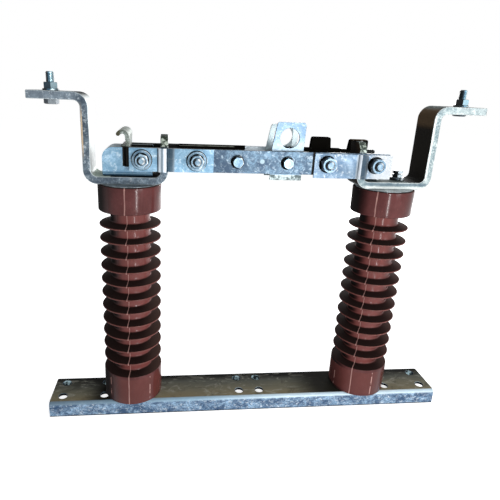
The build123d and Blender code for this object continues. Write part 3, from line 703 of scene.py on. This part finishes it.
def castResin(side):
    own = resin[side]
    material, tree, shader = newMaterial(side + "Resin", resin)
    fromAxis = maths(tree, "SUBTRACT", millimetres(tree, "X"), postAxis[side])
    radius = away(tree, fromAxis, millimetres(tree, "Y"))
    height = millimetres(tree, "Z")
    level = maths(tree, "ABSOLUTE", coordinate(tree, "Normal", "Z"))

    def zone(low, high):
        return times(tree, span(tree, height, *low), span(tree, height, *high))

    def covered(shade, kind, *areas):
        return mix(tree, times(tree, *areas, resin["amounts"].get(kind, 1)), shade, resin[kind])

    onFoot = zone(resin["footLow"], resin["footHigh"])
    onSheds = zone(resin["shedsLow"], resin["shedsHigh"])
    shade = mix(tree, scattered(28, 5, 0.6, 0.35, 0.7)(tree), resin["dark"], resin["light"])
    # painted light: the cores between the sheds are lighter
    shade = covered(shade, "core", span(tree, radius, *resin["coreRadius"]))
    shade = covered(shade, "speck", scattered(420, 3, 0.6, 0.6, 0.75)(tree))
    # painted shade: the tops are dark, lighter towards the right, and the undersides darker
    top = mix(tree, span(tree, fromAxis, *resin["topRightPlace"]), resin["top"], resin["topRight"])
    shade = mix(tree, facing(tree, "Z", 0.25, 0.85), shade, top)
    shade = covered(shade, "under", facing(tree, "Z", -0.3, -0.9))
    shade = covered(shade, "foot", onFoot)
    # painted shade on the right side and on the left side
    shade = covered(shade, "shaded", facing(tree, "X", 0.0, 0.6), own["farShade"])
    spared = maths(tree, "SUBTRACT", 1.0, times(tree, onFoot, own["footSpared"]))
    shade = covered(shade, "flank", facing(tree, "X", *own["flank"]), spared)
    # painted light: the rims of the sheds are paler
    onRim = span(tree, radius, *resin["rimRadius"])
    shade = covered(shade, "rim", onRim, span(tree, level, 0.95, 0.7), onSheds)
    put(tree, seamLines(tree, shade, own["seamAt"], fromAxis, onFoot), shader["Base Color"])
    # dust lies on the sheds and on the left, so they hardly shine
    dust = maths(tree, "MAXIMUM", span(tree, level, 0.3, 0.8), facing(tree, "X", -0.5, -0.9))
    rise = resin["dusty"] - resin["roughness"]
    put(tree, maths(tree, "MULTIPLY_ADD", dust, rise, resin["roughness"]), shader["Roughness"])
    return material


resins = {side: castResin(side) for side in sides}

# the black of the painted contact shadows round washers, nuts and threads
shadowLook = {"metallic": 0.0, "roughness": 0.8, "specular": 0.0, "colour": tone(16, 17, 18)}
shadowPaint, shadowTree, shadowShader = newMaterial("contactShadow", shadowLook)
put(shadowTree, shadowLook["colour"], shadowShader["Base Color"])
print("materials done")


# Helpers for pieces. Each piece is finished in place, with its object at the origin.
def finished(name, build, materials, node, sharp):  # sharp: degrees of a sharp edge
    bmesh.ops.recalc_face_normals(build, faces=build.faces)
    mesh = bpy.data.meshes.new(name)
    build.to_mesh(mesh)
    build.free()
    for material in materials:
        mesh.materials.append(material)
    mesh.polygons.foreach_set("use_smooth", [True] * len(mesh.polygons))
    mesh.set_sharp_from_angle(angle=radians(sharp))
    piece = bpy.data.objects.new(name, mesh)
    bpy.context.scene.collection.objects.link(piece)
    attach(piece, bodyOf[node])
    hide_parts(node)
    return piece


# Turns an open profile of (radius, height) in mm about Z. Rounding lists (offset, segments,
# numbers of the profile's points).
def spun(profile, steps, rounding=()):
    build = bmesh.new()
    points = [build.verts.new((r * mm, 0, z * mm)) for r, z in profile]
    for a, b in zip(points, points[1:]):
        build.edges.new((a, b))
    for offset, segments, chosen in rounding:
        bmesh.ops.bevel(build, geom=[points[i] for i in chosen], offset=offset * mm,
                        offset_type="OFFSET", segments=segments, profile=0.5,
                        affect="VERTICES", material=-1)
    bmesh.ops.spin(build, geom=build.verts[:] + build.edges[:], cent=(0, 0, 0), axis=(0, 0, 1),
                   angle=2 * pi, steps=steps, use_merge=True)
    bmesh.ops.remove_doubles(build, verts=build.verts, dist=0.005 * mm)
    return build


# Insulator posts: a foot, sheds on a core and a cap, in mm. Rounding is (offset, segments) of
# the cap and the foot, the sheds' rims, the roots above the sheds and the throats below them.
post = {
    "radius": 42.5, "core": 27, "cap": 36, "foot": 47, "sheds": 11, "shedRadius": 42, "rim": 2.0,
    "slope": 3.0, "bore": 23.1, "boreDepth": 18.1, "footBore": 6.1, "footBoreDepth": 30,
    "rounding": {"broad": (1.6, 4), "rims": (0.95, 4), "roots": (3.0, 5), "throats": (1.2, 3)},
    "steps": 112, "sharp": 50,
}


def castPost(side):
    node = side + "_insulator"
    bottom, top = (corner.z for corner in corners(node))
    height = top - bottom
    capFoot = height - post["cap"]
    pitch = (capFoot - post["foot"]) / (post["sheds"] + 1)
    profile = [(0, post["footBoreDepth"]), (post["footBore"], post["footBoreDepth"]),
               (post["footBore"], 0), (post["radius"], 0), (post["radius"], post["foot"]),
               (post["core"], post["foot"] + post["slope"] / 2)]
    chosen = {"broad": [3, 4], "rims": [], "roots": [5], "throats": []}
    for shed in range(post["sheds"], 0, -1):
        start = len(profile)
        low = capFoot - shed * pitch - post["rim"] / 2
        high = low + post["rim"]
        profile += [(post["core"], low), (post["shedRadius"], low),
                    (post["shedRadius"], high), (post["core"], high + post["slope"])]
        chosen["throats"].append(start)
        chosen["rims"] += [start + 1, start + 2]
        chosen["roots"].append(start + 3)
    start = len(profile)
    profile += [(post["core"], capFoot), (post["radius"], capFoot), (post["radius"], height),
                (post["bore"], height), (post["bore"], height - post["boreDepth"]),
                (0, height - post["boreDepth"])]
    chosen["throats"].append(start)
    chosen["broad"] += [start + 1, start + 2]
    build = spun(profile, post["steps"],
                 [(*post["rounding"][kind], points) for kind, points in chosen.items()])
    build.transform(Matrix.Translation((postAxis[side] * mm, 0, bottom * mm)))
    finished(side + "Post", build, [resins[side]], node, post["sharp"])


for side in sides:
    castPost(side)
print("posts done")


# Bars, plates and brackets keep the CAD shape, with rounded edges. Places of the ring bracket's
# web are in mm from the mid-plane, the ground and the middle of the switch.
ringWeb = {"cuts": (-16.5, -15.5, 15.5, 16.5), "halfWidth": 15.6, "top": 369, "start": 28}


def notchWeb(build):  # the web between the ring bracket's two feet starts further right
    for y in ringWeb["cuts"]:
        bmesh.ops.bisect_plane(build, geom=build.verts[:] + build.edges[:] + build.faces[:],
                               plane_co=(0, y * mm, 0), plane_no=(0, 1, 0))
    for vertex in build.verts:
        if abs(vertex.co.y) < ringWeb["halfWidth"] * mm and vertex.co.z < ringWeb["top"] * mm:
            vertex.co.x = max(vertex.co.x, ringWeb["start"] * mm)


# The angles, in degrees, are those of an edge that is rounded, that is flat enough to dissolve
# and that is shaded sharp.
softEdge = {"segments": 2, "from": 35, "flat": 0.5, "sharp": 32}
softPieces = {  # width of the rounding in mm, material and slot
    "base_channel": (0.5, galvanised, "galvanised_steel"),
    "left_cap_insert": (0.3, insertSteel, "insert_steel"),
    "right_cap_insert": (0.3, insertSteel, "insert_steel"),
    "left_terminal_bar": (1.1, leftTerminalTin, "tinned_copper"),
    "right_terminal_bar": (1.1, rightTerminalTin, "tinned_copper"),
    "hinge_bracket": (0.5, bracketZinc, "zinc_plate"),
    "opening_stop": (0.6, stopZinc, "zinc_plate"),
    "blade_bar_front": (0.5, bladeTin, "tinned_copper"),
    "blade_bar_rear": (0.5, bladeTin, "tinned_copper"),
    "hinge_spring_plate_front": (0.35, hingePlateZinc, "zinc_plate"),
    "hinge_spring_plate_rear": (0.35, hingePlateZinc, "zinc_plate"),
    "jaw_spring_plate_front": (0.35, jawPlateZinc, "zinc_plate"),
    "jaw_spring_plate_rear": (0.35, jawPlateZinc, "zinc_plate"),
    "pull_ring_bracket": (0.4, ringZinc, "zinc_plate"),
    "blade_stiffener": (0.3, darkSteel, "dark_steel"),
    "latch_arm": (0.4, darkSteel, "dark_steel"),
}


def softened(node, width, material):
    build = bmesh.new()
    build.from_mesh(nodes[node].data)
    bmesh.ops.remove_doubles(build, verts=build.verts, dist=0.01 * mm)
    bmesh.ops.dissolve_limit(build, angle_limit=radians(softEdge["flat"]), verts=build.verts,
                             edges=build.edges)
    if node == "pull_ring_bracket":
        notchWeb(build)
    piece = finished(node + "Skin", build, [material], node, softEdge["sharp"])
    bevel = piece.modifiers.new("roundedEdges", "BEVEL")
    bevel.width = width * mm
    bevel.segments = softEdge["segments"]
    bevel.limit_method = "ANGLE"
    bevel.angle_limit = radians(softEdge["from"])
    bevel.use_clamp_overlap = False
    bevel.harden_normals = True


for node, (width, material, slotName) in softPieces.items():
    softened(node, width, material)
print("bars and plates done")


# Bolts, nuts and washers, in mm.
sizes = {
    "m12": {"radius": 6, "flats": 19, "head": 7.5, "nut": 10, "washer": 10.5, "plate": 2,
            "pitch": 1.75},
    "m10": {"radius": 5, "flats": 16, "head": 6.4, "nut": 8, "washer": 10, "plate": 2,
            "pitch": 1.5},
    "m8": {"radius": 4, "flats": 13, "head": 5.3, "nut": 6.5, "washer": 8, "plate": 1.6},
}
sizes["m10Hinge"] = dict(sizes["m10"], washer=12.5, plate=4)
fastener = {"crown": 0.475, "shankEdge": 0.1, "nutSteps": 48, "discSteps": 56, "threadSteps": 32,
            "sharp": 30}  # crown: radius of a nut's flat end, as a part of its width


def cornerRadius(flats):  # of a hexagon, from the width over its flats
    return flats / 2 / cos(pi / 6)


def hexagon(flats, height, crown=True, root=True):  # crown and root: chamfered corners
    face = flats * fastener["crown"]
    corner = cornerRadius(flats) + 0.02  # past the corners, so that the cuts meet there
    drop = (corner - face) * tan(pi / 6)
    profile = [(0, 0), (face, 0), (corner, drop)] if root else [(0, 0), (corner, 0)]
    profile += [(corner, height - drop), (face, height)] if crown else [(corner, height)]
    build = spun(profile + [(0, height)], fastener["nutSteps"])
    for side in range(6):
        out = Vector((cos(side * pi / 3), sin(side * pi / 3), 0))
        cut = bmesh.ops.bisect_plane(
            build, geom=build.verts[:] + build.edges[:] + build.faces[:],
            plane_co=out * flats / 2 * mm, plane_no=out, clear_outer=True,
        )["geom_cut"]
        bmesh.ops.holes_fill(build, edges=[e for e in cut if isinstance(e, bmesh.types.BMEdge)])
    return build


def disc(radius, height, edge, hole=0.0):  # edge: width of the broken corners
    profile = [(hole, 0), (radius - edge, 0), (radius, edge), (radius, height - edge),
               (radius - edge, height), (hole, height)]
    if hole:
        profile.append((hole, 0))
    return spun(profile, fastener["discSteps"])


def thread(radius, length, pitch, tip):  # rings in place of a helix; tip: chamfer of the end
    depth, halfGroove = 0.35 * pitch, 0.35 * pitch
    profile = [(0, 0), (radius, 0)]
    for turn in range(int((length - tip) / pitch)):
        groove = (turn + 0.5) * pitch
        profile += [(radius, groove - halfGroove), (radius - depth, groove),
                    (radius, groove + halfGroove)]
    profile += [(radius, length - tip), (radius - tip, length), (0, length)]
    return spun(profile, fastener["threadSteps"])


# A painted shadow in the corner round a washer, a nut or a thread: how far it reaches past each.
contactShadow = {"height": 0.3, "edge": 0.1, "washer": 0.9, "padWasher": 0.6, "nut": 0.3, "thread": 0.7}


def shadowRing(radius):
    build = disc(radius, contactShadow["height"], contactShadow["edge"])
    for face in build.faces:
        face.material_index = 1
    return build


# Joins pairs of a bmesh and the matrix that moves it into one piece of fasteners.
def fastened(name, parts, material, node):
    whole = bmesh.new()
    for part, place in parts:
        part.transform(place)
        passing = bpy.data.meshes.new("passing")
        part.to_mesh(passing)
        part.free()
        whole.from_mesh(passing)
        bpy.data.meshes.remove(passing)
    finished(name, whole, [material, shadowPaint], node, fastener["sharp"])


# Bolts across the blade. Over is what their washers lie on, and plates and bars say how far
# that stands from the mid-plane. Sleeve is from where to where a spacer reaches.
blade = {"plates": 30.5, "bars": 28.3, "threadEnd": 3, "threadTip": 2, "washerEdge": 0.35,
         "sleeveWall": 2, "sleeveEdge": 0.3}
tieBolts = {
    "hinge_pin": {"size": "m10Hinge", "over": "plates", "sleeve": (20.3, 23.3), "turn": 12},
    "hinge_tie_bolt": {"size": "m10Hinge", "over": "plates", "sleeve": (0, 21), "turn": 37},
    "jaw_inner_bolt": {"size": "m12", "over": "plates", "sleeve": None, "turn": 8},
    "jaw_outer_bolt": {"size": "m12", "over": "plates", "sleeve": (0, 23.3), "turn": 25},
    "clamp_bolt": {"size": "m8", "over": "bars", "sleeve": None, "turn": 20},
    "latch_pivot_bolt": {"size": "m8", "over": "bars", "sleeve": (20.3, 23.3), "turn": 5},
}


def tieBolt(node, bolt):
    size, seat = sizes[bolt["size"]], blade[bolt["over"]]
    axis = middle(node)

    def along(way, distance):
        quarter = {"front": pi / 2, "rear": -pi / 2}[way]
        return (Matrix.Translation((axis.x * mm, 0, axis.z * mm)) @ Matrix.Rotation(quarter, 4, "X")
                @ Matrix.Translation((0, 0, distance * mm))
                @ Matrix.Rotation(radians(bolt["turn"]), 4, "Z"))

    onWasher = seat + size["plate"]
    parts = [(disc(size["radius"], 2 * seat, fastener["shankEdge"]), along("rear", -seat))]
    for way, height in (("front", size["nut"]), ("rear", size["head"])):
        washer = disc(size["washer"], size["plate"], blade["washerEdge"], size["radius"])
        parts += [
            (washer, along(way, seat)),
            (hexagon(size["flats"], height, root=False), along(way, onWasher)),
            (shadowRing(size["washer"] + contactShadow["washer"]), along(way, seat)),
            (shadowRing(cornerRadius(size["flats"]) + contactShadow["nut"]), along(way, onWasher)),
        ]
    if "pitch" in size:  # the smallest bolts end inside their nuts
        onNut = along("front", onWasher + size["nut"])
        end = thread(size["radius"], blade["threadEnd"], size["pitch"], blade["threadTip"])
        parts += [(shadowRing(size["radius"] + contactShadow["thread"]), onNut), (end, onNut)]
    if bolt["sleeve"]:
        low, high = bolt["sleeve"]
        for way in ("front", "rear"):
            sleeve = disc(size["radius"] + blade["sleeveWall"], high - low, blade["sleeveEdge"],
                          size["radius"])
            parts.append((sleeve, along(way, low)))
    fastened(node + "Detail", parts, boltZinc, node)


for node, bolt in tieBolts.items():
    tieBolt(node, bolt)

# Upright bolts of each side, turned by some degrees. A cap screw shows two nuts on a washer.
# The right terminal bolt has a low round head under the pad.
padBolt = {"thick": 10, "stud": 12.5, "tip": 1.2, "washerEdge": 0.3,
           "roundHead": {"radius": 9, "height": 2.6, "edge": 1.2}}
capScrew = {"offsets": (-18, 18), "washer": 10, "plate": 4, "washerEdge": 0.8, "nut": 4.5,
            "neck": 1, "neckRadius": 4.4, "lap": 0.1, "head": 4, "bottom": 333,
            "seat": {"left": 365, "right": 360}}
footBolt = {"seat": 20, "length": 32, "edge": 0.3}
turns = {"left": 14, "right": 40}


def upright(side, x, z, up=True):
    flip = Matrix.Identity(4) if up else Matrix.Rotation(pi, 4, "X")
    return (Matrix.Translation((x * mm, 0, z * mm)) @ flip
            @ Matrix.Rotation(radians(turns[side]), 4, "Z"))


def terminalBolt(side):
    size, node = sizes["m10"], side + "_terminal_bolt"
    x, top = middle(node).x, corners(side + "_terminal_bar")[1].z
    under, onWasher = top - padBolt["thick"], top + size["plate"]
    if side == "left":
        head = hexagon(size["flats"], size["head"], root=False)
    else:
        head = disc(**padBolt["roundHead"])
    fastened(side + "TerminalBolt", [
        (disc(size["radius"], padBolt["thick"], fastener["shankEdge"]), upright(side, x, under)),
        (disc(size["washer"], size["plate"], padBolt["washerEdge"], size["radius"]),
         upright(side, x, top)),
        (hexagon(size["flats"], size["nut"]), upright(side, x, onWasher)),
        (thread(size["radius"], padBolt["stud"], size["pitch"], padBolt["tip"]),
         upright(side, x, onWasher + size["nut"])),
        (head, upright(side, x, under, False)),
        (shadowRing(size["washer"] + contactShadow["padWasher"]), upright(side, x, top)),
        (shadowRing(cornerRadius(size["flats"]) + contactShadow["nut"]), upright(side, x, onWasher)),
    ], boltZinc, node)


def capScrews(side):
    size, seat, parts = sizes["m8"], capScrew["seat"][side], []
    onWasher = seat + capScrew["plate"]
    onNut = onWasher + capScrew["nut"]
    lap = capScrew["lap"]  # how far the neck runs into the nut and the head
    for offset in capScrew["offsets"]:
        x = postAxis[side] + offset
        parts += [
            (disc(capScrew["washer"], capScrew["plate"], capScrew["washerEdge"]),
             upright(side, x, seat)),
            (hexagon(size["flats"], capScrew["nut"]), upright(side, x, onWasher)),
            (disc(capScrew["neckRadius"], capScrew["neck"] + 2 * lap, lap / 2),
             upright(side, x, onNut - lap)),
            (hexagon(size["flats"], capScrew["head"]), upright(side, x, onNut + capScrew["neck"])),
            (disc(size["radius"], seat - capScrew["bottom"], fastener["shankEdge"]),
             upright(side, x, capScrew["bottom"])),
        ]
    fastened(side + "CapScrews", parts, dullBolt, side + "_cap_screws")


def footBolts(side):
    size, x, seat = sizes["m12"], postAxis[side], footBolt["seat"]
    fastened(side + "FootBolt", [
        (disc(size["washer"], size["plate"], footBolt["edge"]), upright(side, x, seat, False)),
        (hexagon(size["flats"], size["head"], root=False),
         upright(side, x, seat - size["plate"], False)),
        (disc(size["radius"], footBolt["length"], footBolt["edge"]), upright(side, x, seat)),
    ], boltZinc, side + "_foot_bolt")


for side in sides:
    terminalBolt(side)
    capScrews(side)
    footBolts(side)
print("bolts done")
